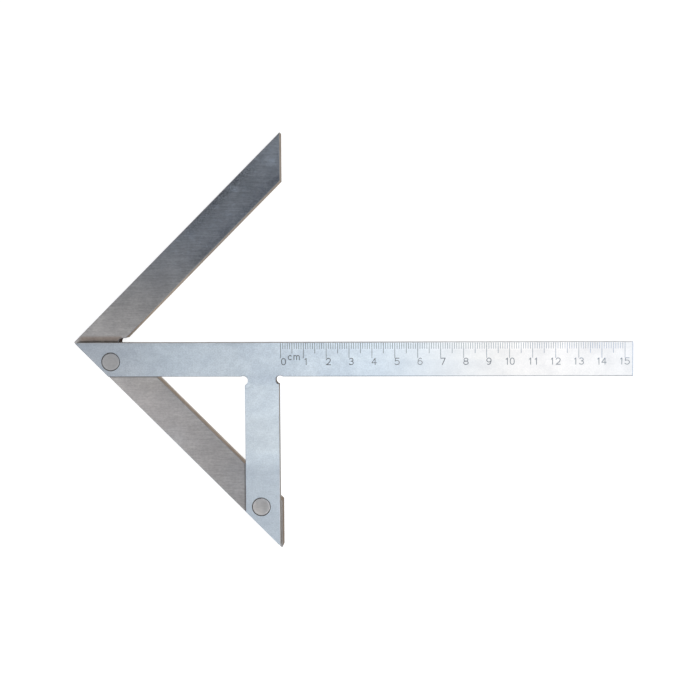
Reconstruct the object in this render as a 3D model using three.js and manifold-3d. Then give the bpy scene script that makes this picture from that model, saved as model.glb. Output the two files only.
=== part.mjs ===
// Centre square: a right-angled V base of flat steel, with a graduated rule blade lying flat on
// top of it so that the blade's upper edge bisects the V. The blade and its strut are one plate,
// riveted to the lower leg near the apex and near the leg's end. A round bar's end goes into the
// V from below and the blade's edge then passes over its centre.
//
// Millimetres, +Z up. The tool lies flat: the base's underside is z = 0, the blade's top is
// z = BASE_T + BLADE_T. +X runs along the blade, away from the apex, and +Y points from the blade
// to the leg that carries no strut. The origin is the centre of the bounding box's bottom.

import * as THREE from 'three';
import { mergeVertices } from 'three/addons/utils/BufferGeometryUtils.js';
import Module from 'manifold-3d';

// ---- driving dimensions (design frame: x from the V's outer apex, y from the bisecting edge) ----
const BASE_T = 5.0;              // thickness of the V base
const BLADE_T = 3.0;             // thickness of the rule blade and its strut
const LEG_W = 15.0;              // width of each leg, square to its edges
const LEG_LEN = 130.0;           // outer edge of each leg, from the apex to its end
const BASE_LEN = LEG_LEN / Math.SQRT2; // apex to the leg ends, along x
const SLOT_R = 1.75;             // relief slot at the inner corner of the V
const SLOT_X = 21.55;            // centre of the slot's round end

const BLADE_W = 15.0;            // width of the rule blade
const BLADE_END = 245.75;        // right end of the blade
const BLADE_INSET = 0.85;        // the blade's mitred end stops this far inside the base's outer edge
const STRUT_INSET = 1.0;         // and the strut's mitred end this far
const STRUT_X0 = 76.35;          // left edge of the strut
const STRUT_X1 = 91.35;          // right edge of the strut
const TIP_BLUNT = 0.4;           // flat on the blade's and the strut's acute tips
const RELIEF = [                 // relief holes where the strut meets the blade: centre and radius
  { side: 'left', x: 75.65, y: -16.85, r: 2.05 },
  { side: 'right', x: 91.8, y: -16.5, r: 1.9 },
];

const RIVETS = [                 // solid flush rivets through blade and base
  { name: 'rivet_apex', x: 17.3, y: -8.4 },
  { name: 'rivet_strut', x: 83.1, y: -72.5 },
];
const RIVET_SHANK_D = 5.0;
const RIVET_HEAD_D = 7.8;        // countersunk heads, flush with both outer faces
const RIVET_HEAD_H = 1.4;        // depth of each countersink
const RIVET_GAP = 0.06;          // radial clearance of the modelled hole around the rivet
const ROUND = 48;                // segments of a full circle

const SQRT2 = Math.SQRT2;
const ORIGIN_X = BLADE_END / 2;  // the bounding box's centre, in the design frame

// ---- materials, from the photograph ----
const MATERIALS = {
  rule_blade: new THREE.MeshStandardMaterial({ color: 0xc3cfd8, roughness: 0.5, metalness: 0.9 }),
  v_base: new THREE.MeshStandardMaterial({ color: 0x8f8d8c, roughness: 0.34, metalness: 1.0 }),
  rivet_apex: new THREE.MeshStandardMaterial({ color: 0x9b9d9f, roughness: 0.38, metalness: 1.0 }),
  rivet_strut: new THREE.MeshStandardMaterial({ color: 0xa7a5a5, roughness: 0.38, metalness: 1.0 }),
};

// ---- solid helpers ----
const wasm = await Module();
wasm.setup();

function toSolid(geometry) {
  let g = geometry.index ? geometry : geometry.clone();
  g.deleteAttribute('normal');
  g.deleteAttribute('uv');
  g = mergeVertices(g, 1e-4);
  return new wasm.Manifold(new wasm.Mesh({
    numProp: 3,
    vertProperties: new Float32Array(g.attributes.position.array),
    triVerts: new Uint32Array(g.index.array),
  }));
}

function toGeometry(solid) {
  const m = solid.getMesh();
  const position = new Float32Array(m.numVert * 3);
  for (let i = 0; i < m.numVert; i++) {
    for (let k = 0; k < 3; k++) position[3 * i + k] = m.vertProperties[m.numProp * i + k];
  }
  const g = new THREE.BufferGeometry();
  g.setAttribute('position', new THREE.BufferAttribute(position, 3));
  g.setIndex(new THREE.BufferAttribute(new Uint32Array(m.triVerts), 1));
  g.computeVertexNormals();
  return g;
}

// A flat plate: the outline is a list of [x, y] in the design frame, from z0 to z0 + t.
function plate(outline, z0, t) {
  const shape = new THREE.Shape(outline.map(([x, y]) => new THREE.Vector2(x - ORIGIN_X, y)));
  const g = new THREE.ExtrudeGeometry(shape, { depth: t, bevelEnabled: false, curveSegments: 1 });
  g.translate(0, 0, z0);
  return toSolid(g);
}

// A body of revolution about the vertical through (x, y): profile is a list of [radius, z].
function turned(profile, x, y) {
  const g = new THREE.LatheGeometry(profile.map(([r, z]) => new THREE.Vector2(r, z)), ROUND);
  g.rotateX(Math.PI / 2);        // the lathe turns about y, so its y becomes z
  g.translate(x - ORIGIN_X, y, 0);
  return toSolid(g);
}

function arc(cx, cy, r, from, to, steps) {
  const pts = [];
  for (let i = 0; i <= steps; i++) {
    const a = from + ((to - from) * i) / steps;
    pts.push([cx + r * Math.cos(a), cy + r * Math.sin(a)]);
  }
  return pts;
}

// ---- V base ----
// Outer edges are y = +x and y = -x. The inner edges run parallel to them, LEG_W away.
const inner = LEG_W * SQRT2;     // the inner corner's x, if it had no slot
const slotMouth = inner + SLOT_R;
const baseOutline = [
  [0, 0],
  [BASE_LEN, -BASE_LEN],
  [BASE_LEN, -(BASE_LEN - inner)],
  [slotMouth, -SLOT_R],
  ...arc(SLOT_X, 0, SLOT_R, -Math.PI / 2, -1.5 * Math.PI, 16),
  [slotMouth, SLOT_R],
  [BASE_LEN, BASE_LEN - inner],
  [BASE_LEN, BASE_LEN],
];

// ---- rule blade with its strut ----
const bladeMitre = BLADE_INSET * SQRT2;        // the blade's mitre is y = -(x - bladeMitre)
const strutMitre = STRUT_INSET * SQRT2;        // the strut's mitre is y = -(x - strutMitre)
const [reliefL, reliefR] = RELIEF;
const leftA = Math.acos((STRUT_X0 - reliefL.x) / reliefL.r);       // where it meets the strut edge
const leftB = Math.asin((-BLADE_W - reliefL.y) / reliefL.r);       // where it meets the blade edge
const rightA = Math.acos((STRUT_X1 - reliefR.x) / reliefR.r);
const rightB = Math.asin((-BLADE_W - reliefR.y) / reliefR.r);
const bladeOutline = [
  [bladeMitre + TIP_BLUNT, 0],
  [bladeMitre + TIP_BLUNT, -TIP_BLUNT],
  [bladeMitre + BLADE_W, -BLADE_W],
  // left relief hole, round its far side: from the blade's lower edge to the strut's left edge
  ...arc(reliefL.x, reliefL.y, reliefL.r, Math.PI - leftB, -leftA, 14),
  [STRUT_X0, -(STRUT_X0 - strutMitre)],
  [STRUT_X1 - TIP_BLUNT, -(STRUT_X1 - TIP_BLUNT - strutMitre)],
  [STRUT_X1, -(STRUT_X1 - TIP_BLUNT - strutMitre)],
  // right relief hole: from the strut's right edge up to the blade's lower edge
  ...arc(reliefR.x, reliefR.y, reliefR.r, 2 * Math.PI - rightA, rightB, 18),
  [BLADE_END, -BLADE_W],
  [BLADE_END, 0],
];

// ---- rivets: one profile, used with and without the clearance ----
const TOTAL_T = BASE_T + BLADE_T;
function rivetProfile(gap, past) {
  const rs = RIVET_SHANK_D / 2 + gap, rh = RIVET_HEAD_D / 2 + gap;
  return [
    [0, -past],
    [rh, -past],
    ...(past ? [[rh, 0]] : []),
    [rs, RIVET_HEAD_H],
    [rs, TOTAL_T - RIVET_HEAD_H],
    ...(past ? [[rh, TOTAL_T]] : []),
    [rh, TOTAL_T + past],
    [0, TOTAL_T + past],
  ];
}

let baseSolid = plate(baseOutline.slice().reverse(), 0, BASE_T);
let bladeSolid = plate(bladeOutline.slice().reverse(), BASE_T, BLADE_T);
const rivetSolids = RIVETS.map(({ x, y }) => turned(rivetProfile(0, 0), x, y));
for (const { x, y } of RIVETS) {
  const hole = turned(rivetProfile(RIVET_GAP, 1), x, y);
  baseSolid = baseSolid.subtract(hole);
  bladeSolid = bladeSolid.subtract(hole);
}

// ---- the assembly ----
const assembly = new THREE.Group();
function addPiece(name, solid) {
  const mesh = new THREE.Mesh(toGeometry(solid), MATERIALS[name]);
  mesh.name = name;
  assembly.add(mesh);
}
addPiece('v_base', baseSolid);
addPiece('rule_blade', bladeSolid);
RIVETS.forEach(({ name }, i) => addPiece(name, rivetSolids[i]));

export default assembly;
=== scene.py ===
"""A centre square: bare steel V base, zinc-plated rule blade with strut, two flush rivets.

Lengths below are in millimetres in the drawing frame: x from the V's outer apex along the
blade, y from the bisecting edge, z up from the bench. They are scaled to metres at the end.
"""

import math

import bpy
import numpy as np
from mathutils import Matrix, Vector
from mathutils.geometry import delaunay_2d_cdt


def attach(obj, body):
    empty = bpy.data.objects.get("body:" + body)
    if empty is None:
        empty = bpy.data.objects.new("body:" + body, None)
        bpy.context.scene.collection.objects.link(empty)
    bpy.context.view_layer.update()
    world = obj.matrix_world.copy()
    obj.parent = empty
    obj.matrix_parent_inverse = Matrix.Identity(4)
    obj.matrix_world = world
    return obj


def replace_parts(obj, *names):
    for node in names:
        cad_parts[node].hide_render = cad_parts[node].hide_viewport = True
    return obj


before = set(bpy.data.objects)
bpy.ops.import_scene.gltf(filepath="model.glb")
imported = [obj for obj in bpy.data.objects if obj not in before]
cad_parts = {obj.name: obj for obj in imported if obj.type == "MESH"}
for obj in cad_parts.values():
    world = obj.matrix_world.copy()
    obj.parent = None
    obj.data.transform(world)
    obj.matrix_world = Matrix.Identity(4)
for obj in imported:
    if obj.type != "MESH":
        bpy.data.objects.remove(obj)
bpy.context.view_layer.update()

# ---------------------------------------------------------------- dimensions
BASE_T, BLADE_T = 5.0, 3.0
TOP = BASE_T + BLADE_T
LEG_W, LEG_LEN = 15.0, 130.0
BASE_LEN = LEG_LEN / math.sqrt(2)
INNER = LEG_W * math.sqrt(2)
SLOT_R, SLOT_X = 1.75, 21.55
BLADE_W, BLADE_END = 15.0, 245.75
BLADE_INSET, STRUT_INSET = 0.85, 1.0
STRUT_X0, STRUT_X1, TIP_BLUNT = 76.35, 91.35, 0.4
RELIEF_L = (75.65, -16.85, 2.05)
RELIEF_R = (91.8, -16.5, 1.9)
RIVETS = {"rivet_apex": (17.3, -8.4), "rivet_strut": (83.1, -72.5)}
SHANK_R, HEAD_R, HEAD_H, GAP = 2.5, 3.9, 1.4, 0.06
X_ORIGIN = BLADE_END / 2

BASE_EDGE, BLADE_EDGE, LOW_EDGE = 0.16, 0.22, 0.06      # how far the plates' edges are broken
ZERO_X, GROOVE = 92.15, 0.08            # first graduation line, depth of the engraving


# ---------------------------------------------------------------- small geometry tools
def arc(cx, cy, r, a0, a1, n):
    return [(cx + r * math.cos(a0 + (a1 - a0) * i / n), cy + r * math.sin(a0 + (a1 - a0) * i / n)) for i in range(n + 1)]


def fillet(points, corners, n=5):
    """Replaces the named corners {index: radius} of a closed outline by small arcs."""
    out = []
    count = len(points)
    for i, p in enumerate(points):
        if i not in corners:
            out.append(p)
            continue
        r = corners[i]
        a = np.array(points[i - 1], float) - p
        b = np.array(points[(i + 1) % count], float) - p
        a, b = a / np.linalg.norm(a), b / np.linalg.norm(b)
        half = math.acos(max(-1, min(1, float(a @ b)))) / 2
        reach = r / math.tan(half)
        mid = (a + b) / np.linalg.norm(a + b)
        centre = np.array(p, float) + mid * r / math.sin(half)
        start, end = np.array(p, float) + a * reach, np.array(p, float) + b * reach
        a0 = math.atan2(start[1] - centre[1], start[0] - centre[0])
        a1 = math.atan2(end[1] - centre[1], end[0] - centre[0])
        while a1 - a0 > math.pi:
            a1 -= 2 * math.pi
        while a1 - a0 < -math.pi:
            a1 += 2 * math.pi
        out += arc(centre[0], centre[1], r, a0, a1, n)
    return out


def tidy(points, least=1e-3):
    out = []
    for p in points:
        if not out or math.dist(p, out[-1]) > least:
            out.append((float(p[0]), float(p[1])))
    if math.dist(out[0], out[-1]) <= least:
        out.pop()
    return out


def edge_normals(points):
    """Outward normals of a counter-clockwise outline, one for each edge."""
    p = np.array(points, float)
    d = np.roll(p, -1, 0) - p
    d /= np.linalg.norm(d, axis=1)[:, None]
    return np.stack([d[:, 1], -d[:, 0]], 1)


def inset(points, by):
    """The outline moved inwards by a distance, with its corners kept."""
    n = edge_normals(points)
    before = np.roll(n, 1, 0)
    step = (n + before) / (1 + (n * before).sum(1))[:, None]
    return np.array(points, float) - step * by


class Shell:
    """Collects faces with their own normals, and joins equal points."""

    def __init__(self):
        self.points, self.index, self.faces, self.normals, self.slots = [], {}, [], [], []

    def vertex(self, p):
        key = (round(p[0], 4), round(p[1], 4), round(p[2], 4))
        if key not in self.index:
            self.index[key] = len(self.points)
            self.points.append(key)
        return self.index[key]

    def face(self, points, normals, slot):
        ids = [self.vertex(p) for p in points]
        kept = [(v, n) for i, (v, n) in enumerate(zip(ids, normals)) if v != ids[i - 1]]
        if len({v for v, _ in kept}) < 3:
            return
        self.faces.append([v for v, _ in kept])
        self.normals.append([n for _, n in kept])
        self.slots.append(slot)

    def build(self, name, materials):
        mesh = bpy.data.meshes.new(name)
        at = [((x - X_ORIGIN) * 0.001, y * 0.001, z * 0.001) for x, y, z in self.points]
        mesh.from_pydata(at, [], self.faces)
        for m in materials:
            mesh.materials.append(m)
        mesh.polygons.foreach_set("material_index", self.slots)
        mesh.polygons.foreach_set("use_smooth", [True] * len(self.faces))
        mesh.update()
        # An edge is sharp where the two faces' own normals part at either end.
        ends, used = {}, {}
        for f, ns in zip(self.faces, self.normals):
            ns = [np.array(n, float) / np.linalg.norm(n) for n in ns]
            for i, v in enumerate(f):
                w = f[i - 1]
                ends.setdefault((min(v, w), max(v, w)), []).append((ns[i], ns[i - 1]) if v < w else (ns[i - 1], ns[i]))
        sharp = {e for e, two in ends.items() if len(two) != 2 or min(two[0][0] @ two[1][0], two[0][1] @ two[1][1]) < 0.9995}
        for e in mesh.edges:
            e.use_edge_sharp = (min(e.vertices), max(e.vertices)) in sharp
        mesh.normals_split_custom_set([Vector(n).normalized() for ns in self.normals for n in ns])
        for f in self.faces:
            for i, v in enumerate(f):
                used[f[i - 1], v] = used.get((f[i - 1], v), 0) + 1
        loose = sum(c != 1 or (b, a) not in used for (a, b), c in used.items())
        print(f"{name}: {len(self.faces)} faces, {loose} open edges")
        ob = bpy.data.objects.new(name, mesh)
        bpy.context.scene.collection.objects.link(ob)
        return ob


def wall(shell, outline, z0, z1, r, steps, side_slot, rim_slot):
    """The plate's sides, with the upper edge rounded by r and the lower one just broken.

    Returns the outlines of the two flat faces.
    """
    n = edge_normals(outline)
    count = len(outline)
    smooth = [float(n[i - 1] @ n[i]) > math.cos(math.radians(28)) for i in range(count)]
    profile = []
    for k in range(3):
        a = -math.pi / 2 + math.pi / 2 * k / 2
        profile.append((LOW_EDGE * (1 - math.cos(a)), z0 + LOW_EDGE + LOW_EDGE * math.sin(a), math.cos(a), math.sin(a)))
    for k in range(steps + 1):
        a = math.pi / 2 * k / steps
        profile.append((r * (1 - math.cos(a)), z1 - r + r * math.sin(a), math.cos(a), math.sin(a)))
    rings = [inset(outline, d) for d, _, _, _ in profile]

    def normal(i, edge, k):
        side = n[edge] if not smooth[i] else (n[i - 1] + n[i]) / np.linalg.norm(n[i - 1] + n[i])
        return (side[0] * profile[k][2], side[1] * profile[k][2], profile[k][3])

    for k in range(len(profile) - 1):
        za, zb = profile[k][1], profile[k + 1][1]
        for i in range(count):
            j = (i + 1) % count
            shell.face(
                [(*rings[k][i], za), (*rings[k][j], za), (*rings[k + 1][j], zb), (*rings[k + 1][i], zb)],
                [normal(i, i, k), normal(j, i, k), normal(j, i, k + 1), normal(i, i, k + 1)],
                side_slot if k < 3 else rim_slot,
            )
    return [tuple(p) for p in rings[0]], [tuple(p) for p in rings[-1]]


def cap(shell, outline, holes, z, up, slot, grooves=(), depth=0.0, groove_slot=0):
    """A flat face with round holes, and engraved marks sunk into it."""
    points, polygons = [], []
    for poly in [outline, *holes, *grooves]:
        polygons.append(list(range(len(points), len(points) + len(poly))))
        points += [(float(x), float(y)) for x, y in poly]
    result = delaunay_2d_cdt([Vector(p) for p in points], [], polygons, 0, 1e-5, True)
    at, _, faces, from_points, _, from_faces = result
    at = [points[o[0]] if o else (p[0], p[1]) for p, o in zip(at, from_points)]
    first_groove = 1 + len(holes)
    flat, sunk = [], []
    for f, origin in zip(faces, from_faces):
        if 0 not in origin or any(1 <= o < first_groove for o in origin):
            continue
        a, b, c = (at[v] for v in f[:3])
        if (b[0] - a[0]) * (c[1] - a[1]) - (b[1] - a[1]) * (c[0] - a[0]) < 0:
            f = f[::-1]
        (sunk if any(o >= first_groove for o in origin) else flat).append(list(f))
    s = 1 if up else -1
    for f in flat:
        shell.face([(*at[v], z) for v in f[::s]], [(0, 0, s)] * len(f), slot)
    floor = z - s * depth
    for f in sunk:
        shell.face([(*at[v], floor) for v in f[::s]], [(0, 0, s)] * len(f), groove_slot)
    inside = {(f[i - 1], f[i]) for f in sunk for i in range(len(f))}
    for a, b in inside:
        if (b, a) in inside:
            continue
        p, q = at[a], at[b]
        d = np.array([q[0] - p[0], q[1] - p[1]])
        d /= np.linalg.norm(d)
        n = (-d[1], d[0], 0)      # towards the mark's open middle
        quad = [(*p, z), (*q, z), (*q, floor), (*p, floor)]
        shell.face(quad if up else quad[::-1], [n] * 4, groove_slot)


def bore(shell, cx, cy, profile, slots, n=72):
    """The wall of a round hole, from its top edge down. Returns its top and bottom circles."""
    turn = [2 * math.pi * j / n for j in range(n + 1)]
    turn[-1] = 0.0

    def at(r, a, z):
        return (cx + r * math.cos(a), cy + r * math.sin(a), z)

    for i, slot in enumerate(slots):
        (r0, z0), (r1, z1) = profile[i], profile[i + 1]
        for j in range(n):
            a, b = turn[j], turn[j + 1]
            ns = [(math.cos(t) * (z1 - z0), math.sin(t) * (z1 - z0), -(r1 - r0)) for t in (a, b, b, a)]
            shell.face([at(r0, a, z0), at(r0, b, z0), at(r1, b, z1), at(r1, a, z1)], ns, slot)
    rings = []
    for r, _ in (profile[0], profile[-1]):
        rings.append([(cx + r * math.cos(t), cy + r * math.sin(t)) for t in turn[:-1]])
    return rings


def turned(shell, cx, cy, profile, slots, n=72):
    """A solid of revolution; its profile runs from the top centre to the bottom centre."""
    d = [(b[0] - a[0], b[1] - a[1]) for a, b in zip(profile, profile[1:])]
    seg = [np.array([-z, r]) / math.hypot(r, z) for r, z in d]      # (outward, up)

    def normal(i, s):
        near = seg[i - 1] if s == i and i > 0 else seg[i] if s == i - 1 and i < len(seg) else None
        own = seg[s]
        if near is not None and float(near @ own) > math.cos(math.radians(32)):
            own = near + own
        if profile[i][0] == 0:
            own = np.array([0.0, 1.0 if i == 0 else -1.0])
        return own / np.linalg.norm(own)

    turn = [2 * math.pi * j / n for j in range(n + 1)]
    turn[-1] = 0.0
    for s in range(len(seg)):
        (r0, z0), (r1, z1) = profile[s], profile[s + 1]
        n0, n1 = normal(s, s), normal(s + 1, s)
        for j in range(n):
            a, b = turn[j], turn[j + 1]
            at = [(r0, a, z0, n0), (r1, a, z1, n1), (r1, b, z1, n1), (r0, b, z0, n0)]
            shell.face(
                [(cx + r * math.cos(t), cy + r * math.sin(t), z) for r, t, z, _ in at],
                [(m[0] * math.cos(t), m[0] * math.sin(t), m[1]) for _, t, _, m in at],
                slots[s],
            )


# ---------------------------------------------------------------- engraved marks
def stroke(path, width, ends=5):
    """A line with round ends, as a closed counter-clockwise outline."""
    p = np.array(path, float)
    keep = [0] + [i for i in range(1, len(p)) if math.dist(p[i], p[i - 1]) > 1e-4]
    p = p[keep]
    d = np.diff(p, axis=0)
    d /= np.linalg.norm(d, axis=1)[:, None]
    n = np.stack([-d[:, 1], d[:, 0]], 1)
    at = np.vstack([n[:1], (n[:-1] + n[1:]) / (1 + (n[:-1] * n[1:]).sum(1))[:, None], n[-1:]])
    h = width / 2
    right = [tuple(q) for q in p - at * h]
    left = [tuple(q) for q in (p + at * h)[::-1]]
    a1 = math.atan2(d[-1][1], d[-1][0])
    a0 = math.atan2(d[0][1], d[0][0])
    tip = arc(p[-1][0], p[-1][1], h, a1 - math.pi / 2, a1 + math.pi / 2, ends)[1:-1]
    tail = arc(p[0][0], p[0][1], h, a0 + math.pi / 2, a0 + 1.5 * math.pi, ends)[1:-1]
    return tidy(right + tip + left + tail, 2e-3)


def curve(points, n=7):
    """A smooth line through the points (centripetal-like cardinal spline)."""
    p = [np.array(q, float) for q in points]
    p = [2 * p[0] - p[1]] + p + [2 * p[-1] - p[-2]]
    out = []
    for i in range(1, len(p) - 2):
        for k in range(n):
            t = k / n
            a, b, c, d = p[i - 1], p[i], p[i + 1], p[i + 2]
            out.append(tuple(0.5 * (2 * b + (c - a) * t + (2 * a - 5 * b + 4 * c - d) * t * t + (3 * b - a - 3 * c + d) * t ** 3)))
    out.append(tuple(p[-2]))
    return out


def loop(cx, cy, rx, ry, a0, a1, n=14):
    a0, a1 = math.radians(a0), math.radians(a1)
    return [(cx + rx * math.cos(a0 + (a1 - a0) * i / n), cy + ry * math.sin(a0 + (a1 - a0) * i / n)) for i in range(n + 1)]


# Centre lines of the numerals in a cell one wide and one high.
GLYPHS = {
    "0": [loop(0.5, 0.36, 0.5, 0.36, -100, 0, 10) + loop(0.5, 0.64, 0.5, 0.36, 0, 100, 10), loop(0.5, 0.64, 0.5, 0.36, 80, 180, 10) + loop(0.5, 0.36, 0.5, 0.36, 180, 280, 10)],
    "1": [[(0.08, 0.8), (0.36, 1.0)], [(0.36, 1.0), (0.36, 0.0)]],
    "2": [loop(0.5, 0.73, 0.46, 0.27, 172, -20, 12), curve([(0.932, 0.638), (0.78, 0.44), (0.4, 0.19), (0.0, 0.0)], 5), [(0.0, 0.0), (1.0, 0.0)]],
    "3": [loop(0.48, 0.76, 0.44, 0.24, 150, -90, 14), loop(0.46, 0.27, 0.52, 0.27, 90, -150, 16)],
    "4": [[(0.72, 1.0), (0.0, 0.3)], [(0.0, 0.3), (1.0, 0.3)], [(0.72, 1.0), (0.72, 0.0)]],
    "5": [[(0.9, 1.0), (0.16, 1.0)], [(0.16, 1.0), (0.08, 0.56)], curve([(0.08, 0.56), (0.3, 0.64), (0.55, 0.65), (0.83, 0.56), (0.98, 0.33), (0.85, 0.1), (0.52, 0.0), (0.22, 0.02), (0.0, 0.13)], 4)],
    "6": [curve([(0.82, 0.94), (0.6, 1.0), (0.33, 0.92), (0.1, 0.66), (0.02, 0.33)], 5), loop(0.5, 0.31, 0.48, 0.31, -20, 195, 16), loop(0.5, 0.31, 0.48, 0.31, 170, 350, 14)],
    "7": [[(0.0, 1.0), (1.0, 1.0)], [(1.0, 1.0), (0.36, 0.0)]],
    "8": [loop(0.5, 0.76, 0.42, 0.24, -90, 100, 12), loop(0.5, 0.76, 0.42, 0.24, 80, 275, 12), loop(0.5, 0.26, 0.5, 0.26, -100, 90, 14), loop(0.5, 0.26, 0.5, 0.26, 85, 265, 14)],
    "9": [curve([(0.18, 0.06), (0.4, 0.0), (0.67, 0.08), (0.9, 0.34), (0.98, 0.67)], 5), loop(0.5, 0.69, 0.48, 0.31, 160, 375, 16), loop(0.5, 0.69, 0.48, 0.31, -10, 170, 14)],
    "c": [loop(0.52, 0.5, 0.5, 0.5, 48, 312, 18)],
    "m": [[(0.0, 1.0), (0.0, 0.0)], [*loop(0.25, 0.7, 0.25, 0.3, 180, 0, 10), (0.5, 0.0)], [*loop(0.75, 0.7, 0.25, 0.3, 180, 0, 10), (1.0, 0.0)]],
}
# Left edge of each glyph's cell, from the line that it belongs to.
NUMERALS = {
    0: [("0", 0.44)], 1: [("1", 0.49)], 2: [("2", 0.0)], 3: [("3", 0.05)], 4: [("4", -0.05)],
    5: [("5", 0.0)], 6: [("6", 0.0)], 7: [("7", 0.0)], 8: [("8", 0.0)], 9: [("9", 0.0)],
    10: [("1", -1.69), ("0", 0.28)], 11: [("1", -1.6), ("1", 0.93)], 12: [("1", -2.08), ("2", 0.1)],
    13: [("1", -2.0), ("3", 0.25)], 14: [("1", -1.98), ("4", -0.08)], 15: [("1", -2.1), ("5", -0.04)],
}
NARROW = {"0": 0.85, "2": 0.96, "3": 0.92}
DIGIT_W, DIGIT_H, DIGIT_Y, DIGIT_LINE = 1.98, 2.78, -9.84, 0.33


def glyph(name, x, y, w, h, line):
    return [stroke([(x + u * w, y + v * h) for u, v in path], line) for path in GLYPHS[name]]


def graduation():
    marks = []
    for i in range(151):
        x = ZERO_X + i
        long = 7.0 if i % 10 == 0 else 4.9 if i % 5 == 0 else 3.0
        line = 0.2 if i % 5 else 0.22
        marks.append(stroke([(x, -long + line / 2), (x, -(BLADE_EDGE + 0.03) - line / 2)], line, 4))
    for cm, parts in NUMERALS.items():
        for name, dx in parts:
            marks += glyph(name, ZERO_X + 10 * cm + dx, DIGIT_Y, DIGIT_W * NARROW.get(name, 1.0), DIGIT_H, DIGIT_LINE)
    marks += glyph("c", 95.48, -7.64, 1.55, 1.86, 0.36)
    marks += glyph("m", 98.0, -7.64, 2.38, 1.86, 0.36)
    return marks


# ---------------------------------------------------------------- materials
class Nodes:
    """Short-hand for a material's node tree. Coordinates are the object's own, in metres."""

    def __init__(self, name, **sockets):
        self.material = bpy.data.materials.new(name)
        self.material.use_nodes = True
        self.tree = self.material.node_tree
        self.shader = self.tree.nodes["Principled BSDF"]
        for key, value in sockets.items():
            self.shader.inputs[key.replace("_", " ")].default_value = value
        self.where = self.tree.nodes.new("ShaderNodeTexCoord").outputs["Object"]

    def link(self, value, socket):
        if isinstance(value, bpy.types.NodeSocket):
            self.tree.links.new(value, socket)
        elif value is not None:
            socket.default_value = value

    def noise(self, scale, detail=2.0, roughness=0.5, distortion=0.0, shift=(0, 0, 0)):
        """Noise with its own number of features in a metre along x, y and z."""
        m = self.tree.nodes.new("ShaderNodeMapping")
        m.inputs["Scale"].default_value = scale if hasattr(scale, "__len__") else (scale,) * 3
        m.inputs["Location"].default_value = shift
        self.tree.links.new(self.where, m.inputs["Vector"])
        t = self.tree.nodes.new("ShaderNodeTexNoise")
        t.inputs["Scale"].default_value = 1.0
        t.inputs["Detail"].default_value = detail
        t.inputs["Roughness"].default_value = roughness
        t.inputs["Distortion"].default_value = distortion
        self.tree.links.new(m.outputs["Vector"], t.inputs["Vector"])
        return t.outputs["Fac"]

    def ramp(self, value, low, high, a=0.0, b=1.0, smooth=True):
        t = self.tree.nodes.new("ShaderNodeMapRange")
        t.interpolation_type = "SMOOTHSTEP" if smooth else "LINEAR"
        for key, v in (("From Min", low), ("From Max", high), ("To Min", a), ("To Max", b)):
            t.inputs[key].default_value = v
        self.link(value, t.inputs["Value"])
        return t.outputs["Result"]

    def math(self, kind, a, b=None):
        t = self.tree.nodes.new("ShaderNodeMath")
        t.operation = kind
        self.link(a, t.inputs[0])
        self.link(b, t.inputs[1])
        return t.outputs[0]

    def mix(self, factor, a, b, kind="MIX"):
        t = self.tree.nodes.new("ShaderNodeMix")
        t.data_type, t.blend_type = "RGBA", kind
        self.link(factor, t.inputs[0])
        self.link(a, t.inputs[6])
        self.link(b, t.inputs[7])
        return t.outputs[2]

    def axis(self, name):
        t = self.tree.nodes.new("ShaderNodeSeparateXYZ")
        self.tree.links.new(self.where, t.inputs[0])
        return t.outputs[name]

    def band(self, value, a, b, c, d):
        """One between b and c, falling smoothly to nothing at a and d."""
        return self.math("MULTIPLY", self.ramp(value, a, b), self.ramp(value, c, d, 1.0, 0.0))

    def spot(self, x, y, rx, ry):
        """One at a place on the plate (mm from the apex), falling smoothly to nothing at the radii."""
        m = self.tree.nodes.new("ShaderNodeMapping")
        m.inputs["Location"].default_value = (-(x - X_ORIGIN) / rx, -y / ry, 0.0)
        m.inputs["Scale"].default_value = (1000.0 / rx, 1000.0 / ry, 0.0)
        self.tree.links.new(self.where, m.inputs["Vector"])
        t = self.tree.nodes.new("ShaderNodeVectorMath")
        t.operation = "LENGTH"
        self.tree.links.new(m.outputs["Vector"], t.inputs[0])
        return self.ramp(t.outputs["Value"], 0.0, 1.0, 1.0, 0.0)

    def all_of(self, *factors):
        out = factors[0]
        for f in factors[1:]:
            out = self.math("MULTIPLY", out, f)
        return out

    def tone(self, colour, factor, tint):
        """Multiplies the colour by the tint, as far as the factor says."""
        return self.mix(factor, colour, (*tint, 1.0), "MULTIPLY")

    def bump(self, height, strength, distance, normal=None):
        t = self.tree.nodes.new("ShaderNodeBump")
        t.inputs["Strength"].default_value = strength
        t.inputs["Distance"].default_value = distance
        self.link(height, t.inputs["Height"])
        if normal is not None:
            self.link(normal, t.inputs["Normal"])
        return t.outputs["Normal"]


def grey(v, tint=(1.0, 1.0, 1.0)):
    return (v * tint[0], v * tint[1], v * tint[2], 1.0)


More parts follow.
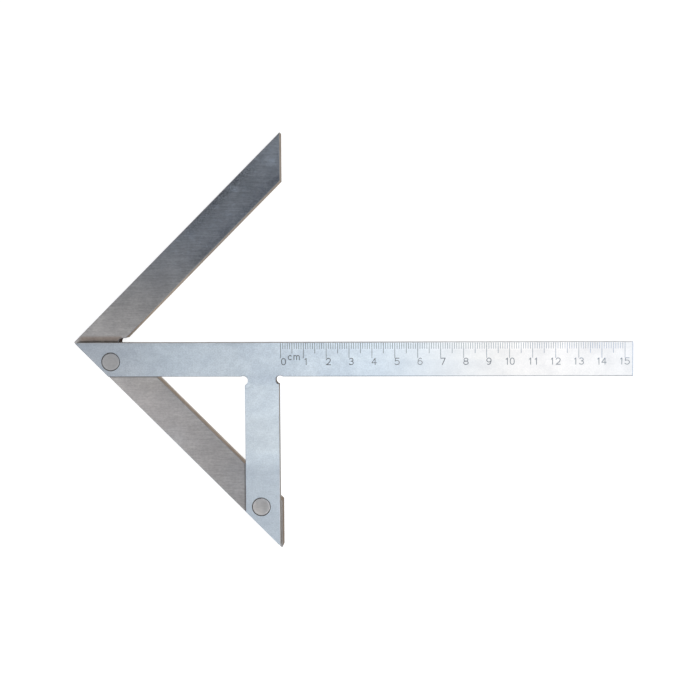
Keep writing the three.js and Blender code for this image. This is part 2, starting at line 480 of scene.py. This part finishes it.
def make_bare_steel():
    """Ground bare steel: fine lines along x, oil film and oxide in clouds, and an upper leg painted darker and bluer as
    a painted reflection of the dark ceiling.
    """
    m = Nodes("bare_steel", Metallic=1.0, Roughness=0.32)
    x, y, z = m.axis("X"), m.axis("Y"), m.axis("Z")
    front = m.ramp(z, 0.002, 0.004)     # stains and the painted contact shade lie on the upper face only
    u = m.math("ADD", x, X_ORIGIN * 0.001)
    across = m.math("MULTIPLY", m.math("SUBTRACT", u, m.math("ABSOLUTE", y)), math.sqrt(0.5))     # from the outer edge
    along = m.math("MULTIPLY", m.math("ADD", u, m.math("ABSOLUTE", y)), math.sqrt(0.5))           # from the apex
    upper = m.all_of(front, m.ramp(y, 0.012, 0.05))
    hair = m.noise((260, 4600, 900), 3.0, 0.62)
    line = m.noise((90, 2300, 300), 3.0, 0.62, shift=(3, 1, 0))
    mottle = m.noise((330, 420, 300), 3.0, 0.6, 0.5, shift=(5, 3, 2))
    grain = m.noise((1100, 1500, 900), 2.0, 0.6, shift=(8, 1, 3))
    cloud = m.noise(110, 3.0, 0.55, 0.4)
    patch = m.noise(330, 3.0, 0.6, 0.8, shift=(7, 2, 0))
    speck = m.noise((1500, 2100, 900), 2.0, 0.6, shift=(1, 5, 0))

    colour = m.mix(m.ramp(cloud, 0.3, 0.7), grey(0.64, (1.0, 0.985, 0.99)), grey(0.72, (1.0, 0.985, 0.98)))
    fade = m.math("MULTIPLY", m.ramp(y, -0.035, 0.0, 0.66, 1.0), m.ramp(u, 0.02, 0.06, 0.75, 1.0))     # the lower leg and the corner are smoother
    colour = m.tone(colour, m.all_of(fade, m.ramp(line, 0.36, 0.66)), (0.85, 0.85, 0.855))
    colour = m.tone(colour, m.all_of(fade, m.ramp(hair, 0.4, 0.66)), (0.81, 0.81, 0.82))
    colour = m.tone(colour, m.ramp(y, 0.0, -0.035), (0.962, 0.955, 0.959))
    colour = m.tone(colour, m.all_of(fade, m.ramp(mottle, 0.35, 0.65)), (0.91, 0.91, 0.915))
    colour = m.tone(colour, m.ramp(grain, 0.35, 0.65), (0.88, 0.88, 0.88))
    colour = m.tone(colour, m.ramp(u, 0.05, 0.02), (0.95, 0.945, 0.94))
    # Painted reflection: the upper leg darker and bluer, as if it mirrored the dark ceiling.
    colour = m.tone(colour, upper, (0.91, 0.975, 1.065))
    colour = m.tone(colour, m.all_of(front, m.ramp(y, 0.05, 0.068)), (0.93, 0.925, 0.91))
    # Paler places on the upper leg and at its tip, and one dark patch below the tip.
    colour = m.tone(colour, m.all_of(upper, m.ramp(patch, 0.5, 0.7)), (1.12, 1.14, 1.16))
    for place, tint in (
        ((72.3, 67.2, 3.2, 2.4), (1.35, 1.38, 1.4)), ((63.8, 59.6, 2.4, 1.8), (1.3, 1.32, 1.34)), ((52.5, 47.0, 5.0, 3.5), (1.12, 1.14, 1.16)),
        ((72.0, -60.0, 11.0, 15.0), (0.9, 0.92, 0.95)), ((37.0, -19.0, 14.0, 6.0), (0.94, 0.93, 0.92)), ((52.5, -45.3, 5.0, 3.0), (1.12, 1.12, 1.12)), ((33.0, -28.0, 9.0, 9.0), (1.04, 1.03, 1.03)),
        ((46.0, -35.0, 13.0, 12.0), (1.04, 1.035, 1.035)), ((44.5, -42.5, 8.0, 8.0), (1.09, 1.11, 1.13)), ((31.0, -20.5, 7.0, 4.5), (0.96, 0.96, 0.96)), ((63.7, 53.1, 7.0, 7.0), (1.07, 1.07, 1.07)), ((46.0, 36.0, 7.0, 7.0), (1.05, 1.05, 1.05)), ((36.0, 27.0, 8.0, 7.0), (0.955, 0.955, 0.96)),
        ((87.0, 81.5, 7.0, 6.0), (1.07, 1.08, 1.1)), ((89.0, 73.5, 5.5, 6.0), (0.74, 0.74, 0.76)), ((79.0, 69.0, 12.0, 7.0), (0.85, 0.85, 0.86)),
    ):
        colour = m.tone(colour, m.all_of(front, m.spot(*place), m.ramp(patch, 0.3, 0.6, 0.6, 1.0)), tint)
    # Stains along the upper leg's outer edge, and a ragged one along its inner edge.
    stain = m.all_of(front, m.ramp(y, 0.0, 0.01), m.band(along, 0.052, 0.085, 0.108, 0.116), m.band(across, -0.0005, 0.0005, 0.0015, 0.0052))
    colour = m.tone(colour, m.all_of(stain, m.ramp(patch, 0.4, 0.55)), (0.9, 0.9, 0.91))
    colour = m.tone(colour, m.all_of(stain, m.ramp(speck, 0.5, 0.57)), (0.66, 0.66, 0.68))
    colour = m.tone(colour, m.all_of(stain, m.ramp(speck, 0.43, 0.37)), (1.25, 1.25, 1.25))
    ragged = m.math("ADD", across, m.math("MULTIPLY", m.math("SUBTRACT", patch, 0.5), 0.011))
    inner = m.all_of(front, m.ramp(y, 0.0, 0.01), m.band(along, 0.048, 0.075, 0.115, 0.13), m.ramp(ragged, 0.0108, 0.0132), m.ramp(speck, 0.38, 0.54, 0.35, 1.0))
    colour = m.tone(colour, inner, (0.72, 0.72, 0.74))
    # Painted contact shade in the corners beside the blade and the strut: here a painted shadow of the blade's edge on
    # the base near the apex.
    corner = m.all_of(front, m.band(y, -0.001, 0.0, 0.0018, 0.0032), m.band(u, 0.001, 0.004, 0.0209, 0.0215))
    colour = m.tone(colour, corner, (0.7, 0.61, 0.55))
    # Painted contact shade: a dark line on the base along the strut's left foot.
    beside = m.all_of(front, m.ramp(y, -0.017, -0.02), m.band(u, (STRUT_X0 - 1.4) * 0.001, (STRUT_X0 - 1.1) * 0.001, 0.0767, 0.077))
    colour = m.tone(colour, beside, (0.62, 0.62, 0.63))
    # Painted contact shade: a dark band on the base along the blade's lower edge.
    colour = m.tone(colour, m.all_of(front, m.band(y, -0.0160, -0.0157, -0.0150, -0.0146)), (0.7, 0.7, 0.7))
    m.link(colour, m.shader.inputs["Base Color"])
    m.link(m.math("ADD", m.ramp(hair, 0.3, 0.7, -0.02, 0.02), m.ramp(cloud, 0.3, 0.7, 0.315, 0.325)), m.shader.inputs["Roughness"])
    m.link(m.bump(m.math("ADD", hair, line), 0.3, 0.00001), m.shader.inputs["Normal"])
    return m.material


def make_steel_edge():
    """Cut sides of the plates: dull, with a warm film, darkest in the relief slot through painted shade; painted light
    makes the upper leg's paler; the blade's are paler.
    """
    m = Nodes("steel_edge", Metallic=0.9, Roughness=0.48, Specular_Tint=(0.3, 0.26, 0.22, 1.0))
    x, y, z = m.axis("X"), m.axis("Y"), m.axis("Z")
    u = m.math("ADD", x, X_ORIGIN * 0.001)
    streak = m.noise((70, 70, 2600), 3.0, 0.6)
    film = m.noise((140, 140, 420), 3.0, 0.6, 0.4, shift=(2, 7, 1))
    cloud = m.noise(300, 2.0, 0.5)
    # Painted light: the upper leg's sides paler than the lower leg's, standing in for the light that falls on them.
    lower = m.mix(m.ramp(film, 0.35, 0.65), (0.372, 0.318, 0.272, 1.0), (0.388, 0.323, 0.27, 1.0))
    upper = m.mix(m.ramp(film, 0.35, 0.65), (0.475, 0.42, 0.368, 1.0), (0.49, 0.424, 0.362, 1.0))
    colour = m.mix(m.ramp(y, 0.005, 0.02), lower, upper)
    top = m.mix(m.ramp(u, 0.11, 0.19), (0.55, 0.525, 0.49, 1.0), (0.78, 0.78, 0.77, 1.0))
    sheared = m.mix(m.ramp(y, -0.0006, -0.0003), m.mix(m.ramp(film, 0.35, 0.65), (0.45, 0.43, 0.405, 1.0), (0.47, 0.435, 0.39, 1.0)), top)
    holes = m.math("MAXIMUM", m.spot(*RELIEF_L[:2], 3.2, 3.2), m.spot(*RELIEF_R[:2], 3.2, 3.2))
    sheared = m.mix(m.ramp(holes, 0.0, 0.25), sheared, (0.24, 0.2, 0.17, 1.0))
    colour = m.mix(m.ramp(z, BASE_T * 0.001 - 0.0001, BASE_T * 0.001 + 0.0001), colour, sheared)
    colour = m.tone(colour, m.ramp(streak, 0.35, 0.65), (0.8, 0.8, 0.8))
    colour = m.tone(colour, m.ramp(cloud, 0.35, 0.7), (0.9, 0.895, 0.89))
    low = m.ramp(z, BASE_T * 0.001 + 0.0001, BASE_T * 0.001 - 0.0001)
    across = m.math("MULTIPLY", m.math("SUBTRACT", u, m.math("ABSOLUTE", y)), math.sqrt(0.5))
    outer = m.all_of(low, m.ramp(across, 0.0014, 0.0007), m.ramp(u, 0.0914, 0.0911))
    plain = m.mix(m.ramp(cloud, 0.35, 0.7), (0.4, 0.395, 0.39, 1.0), (0.36, 0.353, 0.346, 1.0))
    colour = m.mix(outer, colour, m.tone(plain, m.ramp(streak, 0.35, 0.65), (0.86, 0.86, 0.86)))
    # Painted shade: the relief slot's walls darkened deep in the recess.
    slot = m.all_of(low, m.band(y, -0.0026, -0.0022, 0.0018, 0.0022), m.band(u, 0.012, 0.016, 0.021, 0.023))
    colour = m.tone(colour, slot, (0.22, 0.21, 0.22))
    high = m.ramp(z, BASE_T * 0.001 - 0.0001, BASE_T * 0.001 + 0.0001)
    # Painted contact shade: the blade's upper side near the apex darkened towards its foot.
    root = m.all_of(high, m.band(y, -0.0006, -0.0003, 0.001, 0.002), m.ramp(u, 0.023, 0.0205), m.ramp(z, TOP * 0.001 - 0.0002, BASE_T * 0.001, 0.3, 1.0))
    colour = m.tone(colour, root, (0.7, 0.66, 0.63))
    # Painted light: the upper leg's sides paler again beyond the slot.
    colour = m.tone(colour, m.all_of(low, m.band(y, 0.002, 0.01, 0.024, 0.034), m.ramp(u, 0.024, 0.026)), (1.2, 1.18, 1.15))
    colour = m.tone(colour, m.all_of(m.ramp(y, 0.0, -0.002), m.ramp(u, 0.0912, 0.0908), m.ramp(z, 0.0026, 0.0002)), (1.7, 1.8, 1.9))
    # Painted shade: the base's end faces and the strut's right side darkened towards their feet.
    colour = m.tone(colour, m.all_of(m.band(u, 0.0912, 0.0916, 0.093, 0.094), m.ramp(z, 0.0028, 0.0005)), (0.72, 0.72, 0.72))
    colour = m.tone(colour, m.all_of(m.ramp(y, -0.017, -0.0175), m.ramp(u, 0.089, 0.09), m.ramp(z, 0.0072, 0.0054), m.ramp(z, 0.0049, 0.005)), (0.6, 0.58, 0.56))
    m.link(colour, m.shader.inputs["Base Color"])
    m.link(m.ramp(streak, 0.3, 0.7, 0.42, 0.56), m.shader.inputs["Roughness"])
    m.link(m.bump(streak, 0.35, 0.00002), m.shader.inputs["Normal"])
    return m.material


def make_worn_edge_and_sheen():
    """The base's broken upper edges: dull with handling; their tones, warmer near the apex and bluer up the leg, and
    their bluish inner rims are partly painted highlight, standing in for the light the bevels catch.
    """
    m = Nodes("worn_edge_and_sheen", Metallic=0.0, Roughness=0.7, Specular_IOR_Level=0.1)
    x, y = m.axis("X"), m.axis("Y")
    u = m.math("ADD", x, X_ORIGIN * 0.001)
    across = m.math("MULTIPLY", m.math("SUBTRACT", u, m.math("ABSOLUTE", y)), math.sqrt(0.5))
    along = m.math("MULTIPLY", m.math("ADD", u, m.math("ABSOLUTE", y)), math.sqrt(0.5))
    grain = m.noise((900, 900, 400), 3.0, 0.6)
    upper = m.mix(m.ramp(along, 0.01, 0.05), (0.17, 0.145, 0.125, 1.0), (0.27, 0.23, 0.19, 1.0))
    upper = m.mix(m.ramp(along, 0.05, 0.078), upper, (0.51, 0.44, 0.37, 1.0))
    lower = m.mix(m.ramp(along, 0.035, 0.06), (0.23, 0.235, 0.25, 1.0), (0.405, 0.44, 0.505, 1.0))
    lower = m.mix(m.ramp(along, 0.07, 0.1), lower, (0.35, 0.375, 0.43, 1.0))
    colour = m.mix(m.ramp(y, -0.001, 0.001), lower, upper)
    inner = m.mix(m.ramp(y, -0.001, 0.001), (0.28, 0.285, 0.3, 1.0), (0.32, 0.335, 0.365, 1.0))
    colour = m.mix(m.ramp(across, 0.009, 0.011), colour, inner)
    colour = m.mix(m.ramp(u, 0.0912, 0.0916), colour, (0.27, 0.265, 0.265, 1.0))
    colour = m.tone(colour, m.ramp(grain, 0.35, 0.65), (0.86, 0.86, 0.86))
    m.link(colour, m.shader.inputs["Base Color"])
    return m.material


def make_plated_steel():
    """Matt zinc plating: faintly blue and cloudy, with a fine grain, paler and more neutral towards the far end,
    painted so to stand in for the brighter light there.
    """
    m = Nodes("plated_steel", Metallic=1.0, Roughness=0.57)
    x, y, z = m.axis("X"), m.axis("Y"), m.axis("Z")
    front = m.ramp(z, 0.006, 0.007)
    u = m.math("ADD", x, X_ORIGIN * 0.001)
    cloud = m.noise((90, 130, 100), 3.0, 0.55, 0.5)
    bloom = m.noise(420, 3.0, 0.6, 0.3, shift=(4, 0, 1))
    grain = m.noise(1500, 3.0, 0.65)
    fine = m.noise(3600, 2.0, 0.6, shift=(2, 2, 0))
    calm = m.math("MULTIPLY", m.ramp(u, 0.1, 0.17, 1.0, 0.42), m.ramp(y, -0.018, -0.03, 1.0, 0.8))     # the far half and the strut are more even
    billow = m.math("ADD", m.math("MULTIPLY", m.math("SUBTRACT", m.ramp(cloud, 0.3, 0.7), 0.5), calm), 0.5)
    colour = m.mix(billow, grey(0.83, (0.895, 0.99, 1.08)), grey(0.93, (0.9, 0.985, 1.055)))
    colour = m.tone(colour, m.all_of(calm, m.ramp(bloom, 0.35, 0.65)), (0.92, 0.925, 0.93))
    colour = m.tone(colour, m.all_of(calm, m.ramp(grain, 0.36, 0.64)), (0.88, 0.885, 0.89))
    colour = m.tone(colour, m.all_of(calm, m.ramp(fine, 0.36, 0.64)), (0.94, 0.94, 0.94))
    colour = m.tone(colour, m.ramp(u, 0.1, 0.17), (0.93, 0.93, 0.93))
    colour = m.tone(colour, m.ramp(u, 0.012, 0.05, 1.0, 0.0), (0.86, 0.84, 0.845))
    on_blade = m.ramp(y, -0.02, -0.017)
    # Painted light: warmer and more neutral towards the far end, where the blade is brightest.
    colour = m.tone(colour, m.all_of(on_blade, m.ramp(u, 0.125, 0.2)), (1.15, 1.02, 0.92))
    colour = m.tone(colour, m.all_of(on_blade, m.ramp(u, 0.175, 0.205)), (0.94, 0.945, 0.955))
    colour = m.tone(colour, m.all_of(on_blade, m.ramp(u, 0.222, 0.244)), (0.96, 0.97, 0.98))
    colour = m.tone(colour, m.all_of(on_blade, m.band(u, 0.044, 0.058, 0.1, 0.112)), (1.045, 1.04, 1.035))
    colour = m.tone(colour, m.all_of(on_blade, m.band(u, 0.1, 0.112, 0.13, 0.15)), (1.025, 1.025, 1.025))
    colour = m.tone(colour, m.all_of(on_blade, m.band(u, 0.06, 0.065, 0.071, 0.078)), (0.965, 0.965, 0.965))
    colour = m.tone(colour, m.all_of(on_blade, m.band(u, 0.188, 0.198, 0.214, 0.224)), (1.045, 1.04, 1.035))
    colour = m.tone(colour, m.all_of(front, m.band(y, -0.0017, -0.0009, 0.001, 0.002), m.ramp(u, 0.087, 0.075)), (0.94, 0.935, 0.93))
    colour = m.tone(colour, m.all_of(front, m.band(y, -0.0085, -0.007, 0.0, 0.001), m.band(u, 0.105, 0.115, 0.185, 0.2)), (1.055, 1.045, 1.03))
    colour = m.tone(colour, m.all_of(front, on_blade, m.ramp(y, -0.01445, -0.0148), m.ramp(u, 0.1, 0.13)), (0.72, 0.76, 0.8))
    colour = m.tone(colour, m.all_of(front, m.ramp(u, 0.2451, 0.2455)), (0.8, 0.88, 0.98))
    colour = m.tone(colour, m.all_of(front, m.band(y, -0.0037, -0.0032, -0.0002, 0.0), m.band(u, 0.0915, 0.0925, 0.2, 0.235)), (1.05, 1.05, 1.045))
    strut = m.ramp(y, -0.0165, -0.0195)
    colour = m.tone(colour, m.band(y, -0.05, -0.046, -0.036, -0.031), (0.955, 0.953, 0.95))
    colour = m.tone(colour, strut, (1.085, 1.075, 1.06))
    ragged = m.math("ADD", y, m.math("MULTIPLY", m.math("SUBTRACT", bloom, 0.5), 0.004))
    colour = m.tone(colour, m.ramp(ragged, -0.0505, -0.0575), (0.8, 0.81, 0.83))
    colour = m.tone(colour, m.all_of(front, m.band(y, -0.0195, -0.0182, -0.0155, -0.0135), m.band(u, 0.074, 0.077, 0.0905, 0.093)), (0.95, 0.955, 0.965))
    m.link(colour, m.shader.inputs["Base Color"])
    m.link(m.ramp(cloud, 0.3, 0.7, 0.585, 0.555), m.shader.inputs["Roughness"])
    m.link(m.bump(grain, 0.25, 0.00002), m.shader.inputs["Normal"])
    return m.material


def make_plated_rim():
    """The blade's broken edges: matt, a shade darker and bluer than the plating beside them."""
    m = Nodes("plated_rim", Metallic=0.0, Roughness=0.7, Specular_IOR_Level=0.1)
    x, y = m.axis("X"), m.axis("Y")
    u = m.math("ADD", x, X_ORIGIN * 0.001)
    grain = m.noise((900, 900, 400), 3.0, 0.6)
    top = m.mix(m.ramp(u, 0.11, 0.19), (0.48, 0.465, 0.45, 1.0), (0.87, 0.87, 0.87, 1.0))
    colour = m.mix(m.ramp(y, -0.0007, -0.0004), (0.26, 0.3, 0.36, 1.0), top)
    low = m.mix(m.ramp(u, 0.06, 0.13), (0.22, 0.24, 0.27, 1.0), (0.06, 0.072, 0.09, 1.0))
    colour = m.mix(m.band(y, -0.0155, -0.0152, -0.0147, -0.0144), colour, low)
    left = m.all_of(m.ramp(y, -0.0152, -0.0165), m.ramp(u, 0.0905, 0.0895, 0.0, 1.0))
    colour = m.mix(left, colour, (0.56, 0.63, 0.72, 1.0))
    right = m.all_of(m.ramp(y, -0.0172, -0.0178), m.ramp(u, 0.0908, 0.091))
    colour = m.mix(right, colour, (0.62, 0.66, 0.7, 1.0))
    colour = m.mix(m.ramp(u, 0.245, 0.2452), colour, (0.08, 0.14, 0.28, 1.0))
    colour = m.tone(colour, m.ramp(grain, 0.35, 0.65), (0.88, 0.88, 0.88))
    m.link(colour, m.shader.inputs["Base Color"])
    return m.material


def make_rivet_steel():
    """The rivets' ground faces: paler round the rim, the strut's one with painted light at its lower left and painted
    shade at its upper right.
    """
    m = Nodes("rivet_steel", Metallic=1.0, Roughness=0.42)
    x, y = m.axis("X"), m.axis("Y")
    line = m.noise((300, 4500, 500), 3.0, 0.6)
    cloud = m.noise(450, 2.0, 0.5)
    grain = m.noise(1300, 2.0, 0.6)
    colour = m.mix(m.ramp(cloud, 0.3, 0.7), grey(0.51, (1.0, 1.0, 1.01)), grey(0.57, (1.0, 0.998, 1.01)))
    colour = m.tone(colour, m.ramp(line, 0.35, 0.7), (0.93, 0.93, 0.935))
    colour = m.tone(colour, m.ramp(grain, 0.35, 0.65), (0.95, 0.95, 0.95))
    (x1, y1), (x2, y2) = RIVETS["rivet_apex"], RIVETS["rivet_strut"]
    middle = m.math("MAXIMUM", m.spot(x1, y1, 4.6, 4.6), m.spot(x2, y2, 4.6, 4.6))
    colour = m.tone(colour, m.ramp(middle, 0.0, 0.55, 1.0, 0.0), (1.1, 1.1, 1.11))
    # Painted light and shade on the strut's rivet: lighter at the lower left, darker at the upper right.
    second = m.ramp(y, -0.03, -0.04)
    slope = m.math("ADD", m.math("ADD", x, (X_ORIGIN - x2) * 0.001), m.math("ADD", y, -y2 * 0.001))
    colour = m.tone(colour, m.all_of(second, m.ramp(slope, 0.001, -0.0048)), (1.28, 1.25, 1.22))
    colour = m.tone(colour, m.all_of(second, m.ramp(slope, 0.0, 0.005)), (0.9, 0.895, 0.9))
    m.link(colour, m.shader.inputs["Base Color"])
    m.link(m.ramp(line, 0.3, 0.7, 0.38, 0.46), m.shader.inputs["Roughness"])
    m.link(m.bump(line, 0.3, 0.00001), m.shader.inputs["Normal"])
    return m.material


def make_grime():
    """Dark residue in the gap round a rivet."""
    m = Nodes("grime", Metallic=0.3, Roughness=0.7)
    cloud = m.noise(1500, 2.0, 0.5)
    m.link(m.mix(m.ramp(cloud, 0.3, 0.7), grey(0.085, (1.0, 0.95, 0.92)), grey(0.15, (1.0, 0.95, 0.92))), m.shader.inputs["Base Color"])
    return m.material


def make_mark():
    """Bottom of the engraved lines: blackened near zero, worn pale towards the far end, and uneven from line to line."""
    m = Nodes("mark", Metallic=0.5, Roughness=0.6)
    x, y = m.axis("X"), m.axis("Y")
    u = m.math("ADD", x, X_ORIGIN * 0.001)
    uneven = m.noise((260, 60, 60), 2.0, 0.6)
    fine = m.noise(1400, 2.0, 0.6)
    numeral = m.mix(m.ramp(u, 0.13, 0.24), grey(0.085, (1.0, 1.0, 1.03)), grey(0.34, (0.88, 1.0, 1.14)))
    numeral = m.mix(m.spot(150.0, -8.5, 15.0, 9.0), numeral, grey(0.42, (0.97, 1.0, 1.03)))
    line = m.mix(m.ramp(u, 0.125, 0.2), grey(0.11, (1.0, 1.0, 1.04)), (0.26, 0.32, 0.43, 1.0))
    line = m.mix(m.ramp(u, 0.2, 0.235), line, (0.4, 0.48, 0.64, 1.0))
    colour = m.mix(m.ramp(y, -0.0073, -0.007), numeral, line)
    colour = m.mix(m.all_of(m.ramp(uneven, 0.42, 0.62), m.ramp(u, 0.0, 0.25, 0.5, 0.8), m.ramp(m.spot(117.0, -8.5, 14.0, 5.0), 0.0, 0.5, 1.0, 0.25)), colour, grey(0.36, (0.92, 1.0, 1.08)))
    colour = m.tone(colour, m.ramp(fine, 0.35, 0.65), (0.7, 0.7, 0.7))
    m.link(colour, m.shader.inputs["Base Color"])
    return m.material


bare, edge = make_bare_steel(), make_steel_edge()
# worn is the base's broken-edge material: dull with wear, with painted highlight in its tones.
worn, plated, rim = make_worn_edge_and_sheen(), make_plated_steel(), make_plated_rim()
rivet_face, grime, mark = make_rivet_steel(), make_grime(), make_mark()

# ---------------------------------------------------------------- outlines
mouth = INNER + SLOT_R
base_outline = [
    (0, 0), (BASE_LEN, -BASE_LEN), (BASE_LEN, -(BASE_LEN - INNER)), (mouth, -SLOT_R),
    *arc(SLOT_X, 0, SLOT_R, -math.pi / 2, -1.5 * math.pi, 24),
    (mouth, SLOT_R), (BASE_LEN, BASE_LEN - INNER), (BASE_LEN, BASE_LEN),
]
last = len(base_outline) - 1
base_outline = tidy(fillet(base_outline, {1: 0.35, 2: 0.3, 3: 0.3, last - 2: 0.3, last - 1: 0.3}))   # the apex and the upper tip stay sharp

blade_mitre, strut_mitre = BLADE_INSET * math.sqrt(2), STRUT_INSET * math.sqrt(2)
lx, ly, lr = RELIEF_L
rx, ry, rr = RELIEF_R
left_a, left_b = math.acos((STRUT_X0 - lx) / lr), math.asin((-BLADE_W - ly) / lr)
right_a, right_b = math.acos((STRUT_X1 - rx) / rr), math.asin((-BLADE_W - ry) / rr)
blade_outline = [
    (blade_mitre + TIP_BLUNT, 0), (blade_mitre + TIP_BLUNT, -TIP_BLUNT), (blade_mitre + BLADE_W, -BLADE_W),
    *arc(lx, ly, lr, math.pi - left_b, -left_a, 26),
    (STRUT_X0, -(STRUT_X0 - strut_mitre)), (STRUT_X1 - TIP_BLUNT, -(STRUT_X1 - TIP_BLUNT - strut_mitre)),
    (STRUT_X1, -(STRUT_X1 - TIP_BLUNT - strut_mitre)),
    *arc(rx, ry, rr, 2 * math.pi - right_a, right_b, 30),
    (BLADE_END, -BLADE_W), (BLADE_END, 0),
]
last = len(blade_outline) - 1
blade_outline = tidy(fillet(blade_outline, {last: 0.4, last - 1: 0.4}))

# ---------------------------------------------------------------- the two plates
HOLE_R, CORE_R = HEAD_R + GAP, SHANK_R + GAP


def plate(name, outline, z0, z1, r, edges_down, materials, rim_slot, grooves=()):
    """edges_down: the plate is the lower one, so its rivet holes open towards the bench."""
    shell = Shell()
    bottom, top = wall(shell, outline, z0, z1, r, 4, 1, rim_slot)
    tops, bottoms = [], []
    for cx, cy in RIVETS.values():
        if edges_down:
            profile = [(CORE_R, z1), (CORE_R, z0 + HEAD_H), (HOLE_R - 0.02, z0 + 0.08), (HOLE_R + 0.08, z0)]
            slots = [2, 2, 2]
        else:
            profile = [(HOLE_R + 0.18, z1), (HOLE_R - 0.03, z1 - 0.12), (CORE_R, z1 - HEAD_H), (CORE_R, z0)]
            slots = [2, 2, 2]
        a, b = bore(shell, cx, cy, profile, slots)
        tops.append(a)
        bottoms.append(b)
    cap(shell, top, tops, z1, True, 0, grooves, GROOVE, 3)
    cap(shell, bottom, bottoms, z0, False, 0)
    return shell.build(name, materials)


base = plate("v_base_plate", base_outline, 0.0, BASE_T, BASE_EDGE, True, [bare, edge, grime, worn], 3)
blade = plate("rule_blade_plate", blade_outline, BASE_T, TOP, BLADE_EDGE, False, [plated, edge, grime, mark, rim], 4, graduation())
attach(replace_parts(base, "v_base"), "root")
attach(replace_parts(blade, "rule_blade"), "root")

# ---------------------------------------------------------------- the rivets
for node, (cx, cy) in RIVETS.items():
    shell = Shell()
    half = [(0.0, 0.0), (1.6, 0.002), (2.8, 0.006), (3.5, 0.012), (3.68, 0.022), (3.75, 0.05), (3.79, 0.12), (3.795, 0.17), (SHANK_R, HEAD_H)]
    profile = [(r, TOP - z) for r, z in half] + [(r, z) for r, z in half[::-1]]
    slots = [0] * 5 + [1] * 3 + [1] + [1] * 3 + [0] * 5
    turned(shell, cx, cy, profile, slots)
    ob = shell.build(node + "_head", [rivet_face, grime])
    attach(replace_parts(ob, node), "root")

# ---------------------------------------------------------------- floor, light, camera
scene = bpy.context.scene
floor_mesh = bpy.data.meshes.new("floor")
s = 3.0
floor_mesh.from_pydata([(-s, -s, -0.0003), (s, -s, -0.0003), (s, s, -0.0003), (-s, s, -0.0003)], [], [(0, 1, 2, 3)])
floor = bpy.data.objects.new("floor", floor_mesh)
scene.collection.objects.link(floor)
paper = Nodes("floor_paper", Base_Color=(0.35, 0.35, 0.35, 1.0), Roughness=0.9)
paper.shader.inputs["Specular IOR Level"].default_value = 0.1
paper.shader.inputs["Emission Color"].default_value = (1.0, 1.0, 1.0, 1.0)
paper.shader.inputs["Emission Strength"].default_value = 0.85
floor_mesh.materials.append(paper.material)

# The room: pale walls, a darker ceiling above the soft boxes.
WALL, CEILING = (0.29, 0.31, 0.33, 1.0), (0.036, 0.040, 0.045, 1.0)
world = bpy.data.worlds.new("studio")
world.use_nodes = True
room = world.node_tree
direction = room.nodes.new("ShaderNodeTexCoord").outputs["Generated"]
part = room.nodes.new("ShaderNodeSeparateXYZ")
room.links.new(direction, part.inputs[0])
rise = room.nodes.new("ShaderNodeMapRange")
rise.interpolation_type = "SMOOTHSTEP"
rise.inputs["From Min"].default_value, rise.inputs["From Max"].default_value = 0.3, 0.75
room.links.new(part.outputs["Z"], rise.inputs["Value"])
room_mix = room.nodes.new("ShaderNodeMix")
room_mix.data_type = "RGBA"
room.links.new(rise.outputs["Result"], room_mix.inputs[0])
room_mix.inputs[6].default_value, room_mix.inputs[7].default_value = WALL, CEILING
room.links.new(room_mix.outputs[2], room.nodes["Background"].inputs["Color"])
scene.world = world

# name, place, aimed at, width, height, radiance in each colour
LIGHTS = [
    ("right_front", (0.5, -0.525, 0.9), (0.5, -0.525, 0.0), 1.0, 0.85, (2.25, 2.2, 2.13)),
    ("right_back", (0.5, 0.4, 0.9), (0.5, 0.4, 0.0), 1.0, 1.0, (2.0, 2.15, 2.35)),
    ("left_front", (-0.675, -0.325, 0.9), (-0.675, -0.325, 0.0), 0.55, 0.45, (1.62, 1.57, 1.53)),
    ("left_middle", (-0.675, 0.0, 0.9), (-0.675, 0.0, 0.0), 0.55, 0.2, (0.33, 0.35, 0.37)),
    ("middle_front", (-0.2, -0.525, 0.9), (-0.2, -0.525, 0.0), 0.4, 0.85, (0.23, 0.23, 0.23)),
]


def area_light(name, place, target, width, height, radiance):
    data = bpy.data.lights.new(name, "AREA")
    data.shape, data.size, data.size_y = "RECTANGLE", width, height
    most = max(radiance)
    data.color = [c / most for c in radiance]
    data.energy = most * width * height * math.pi
    ob = bpy.data.objects.new(name, data)
    ob.location = place
    ob.rotation_euler = (Vector(target) - Vector(place)).to_track_quat("-Z", "Y").to_euler()
    scene.collection.objects.link(ob)
    return ob


for spec in LIGHTS:
    area_light(*spec)

camera_data = bpy.data.cameras.new("camera")
camera_data.sensor_width = 36.0
camera_data.lens = 42.806
camera_data.shift_x, camera_data.shift_y = -0.07837, -0.09163
camera_data.clip_start, camera_data.clip_end = 0.01, 20.0
camera = bpy.data.objects.new("camera", camera_data)
turn = Matrix(((0.999838, 0.003642, 0.017612), (-0.00415, 0.999573, 0.028922), (-0.017499, -0.02899, 0.999427)))
camera.matrix_world = Matrix.Translation((0.030159, 0.034999, 0.370)) @ turn.to_4x4()
scene.collection.objects.link(camera)
scene.camera = camera
scene.view_settings.view_transform = "Standard"
scene.view_settings.look = "None"
